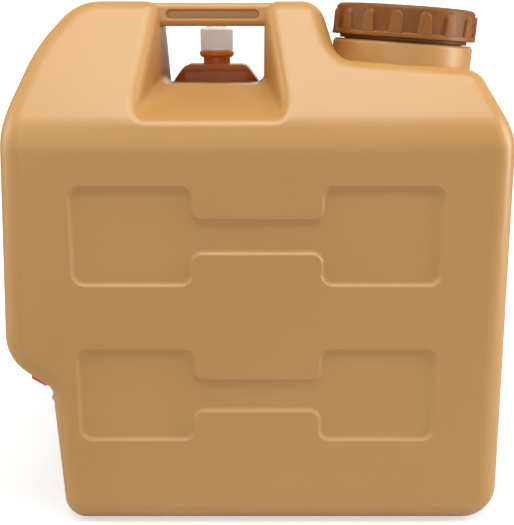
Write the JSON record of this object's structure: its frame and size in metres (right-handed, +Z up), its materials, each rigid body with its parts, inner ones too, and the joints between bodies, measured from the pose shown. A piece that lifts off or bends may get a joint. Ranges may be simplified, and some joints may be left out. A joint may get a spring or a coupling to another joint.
{
  "type": "jerry can",
  "caption": "Water jerry can with top handle, tilted screw-capped filler neck, lever tap in a front notch and a lift-out soap bottle behind the handle.",
  "frame": {"origin": "middle of the can's outline at the foot, on the surface it stands on", "axes": "+Z up, +X towards the filler neck, -X towards the tap, Y across the can"},
  "size_m": [0.3881, 0.19, 0.4055],
  "materials": {
    "can_plastic": "satin tan blow-moulded polyethylene",
    "cap_plastic": "satin dark brown moulded polypropylene",
    "bottle_plastic": "satin red-brown polyethylene",
    "white_plastic": "warm white moulded polypropylene",
    "tap_grey": "grey moulded plastic",
    "lever_orange": "orange-red moulded plastic",
    "rubber_seal": "matt black rubber",
    "liner_foam": "pale foam liner",
    "steel": "stainless steel wire and pins"
  },
  "bodies": {
    "can": {"can_body": "can_plastic", "tap_body": "tap_grey", "tap_gasket": "rubber_seal", "tap_washer": "tap_grey", "tap_nut": "tap_grey", "tap_bonnet": "tap_grey", "stem_oring": "rubber_seal", "lever_pin": "steel", "valve_spring": "steel"},
    "cap_gasket": {"filler_cap_gasket": "rubber_seal"},
    "filler_cap": {"filler_cap": "cap_plastic"},
    "vent_plug": {"vent_plug": "cap_plastic", "vent_seal": "rubber_seal"},
    "soap_bottle": {"soap_bottle": "bottle_plastic"},
    "cap_liner": {"soap_cap_liner": "liner_foam"},
    "soap_cap": {"soap_cap": "white_plastic"},
    "soap_nozzle": {"soap_nozzle": "white_plastic"},
    "tap_lever": {"tap_lever": "lever_orange", "stem_pin": "steel"},
    "valve_stem": {"valve_stem": "tap_grey", "valve_seal": "rubber_seal"}
  },
  "joints": [
    {"name": "cap_lift", "type": "slide", "parent": "can", "child": "cap_gasket", "axis": [0.0698, 0, 0.9976], "range_m": [0, 0.0701]},
    {"name": "cap_turn", "type": "hinge", "parent": "cap_gasket", "child": "filler_cap", "pos_m": [0.115, 0, 0.3586], "axis": [0.0698, 0, 0.9976], "range_deg": [0, 1800]},
    {"name": "vent_pull", "type": "slide", "parent": "filler_cap", "child": "vent_plug", "axis": [0.0698, 0, 0.9976], "range_m": [0, 0.008]},
    {"name": "bottle_lift", "type": "slide", "parent": "can", "child": "soap_bottle", "axis": [0, 0, 1], "range_m": [0, 0.13]},
    {"name": "soap_cap_lift", "type": "slide", "parent": "soap_bottle", "child": "cap_liner", "axis": [0, 0, 1], "range_m": [0, 0.0211]},
    {"name": "soap_cap_turn", "type": "hinge", "parent": "cap_liner", "child": "soap_cap", "pos_m": [-0.0345, 0.0525, 0.37], "axis": [0, 0, 1], "range_deg": [0, 1800]},
    {"name": "nozzle_pull", "type": "slide", "parent": "soap_cap", "child": "soap_nozzle", "axis": [0, 0, 1], "range_m": [0, 0.004]},
    {"name": "lever_press", "type": "hinge", "parent": "can", "child": "tap_lever", "pos_m": [-0.179, 0, 0.101], "axis": [0, -1, 0], "range_deg": [0, 18], "stiffness_Nm_per_rad": 0.3, "springref_deg": -20.05},
    {"name": "stem_lift", "type": "slide", "parent": "can", "child": "valve_stem", "axis": [0, 0, 1], "range_m": [0, 0.0023], "deforming": ["valve_spring"]}
  ],
  "couplings": [
    {"joint": "cap_lift", "follows": "cap_turn", "m_per_rad": 0.0022282},
    {"joint": "soap_cap_lift", "follows": "soap_cap_turn", "m_per_rad": 0.00066845},
    {"joint": "stem_lift", "follows": "lever_press", "m_per_rad": 0.007}
  ]
}
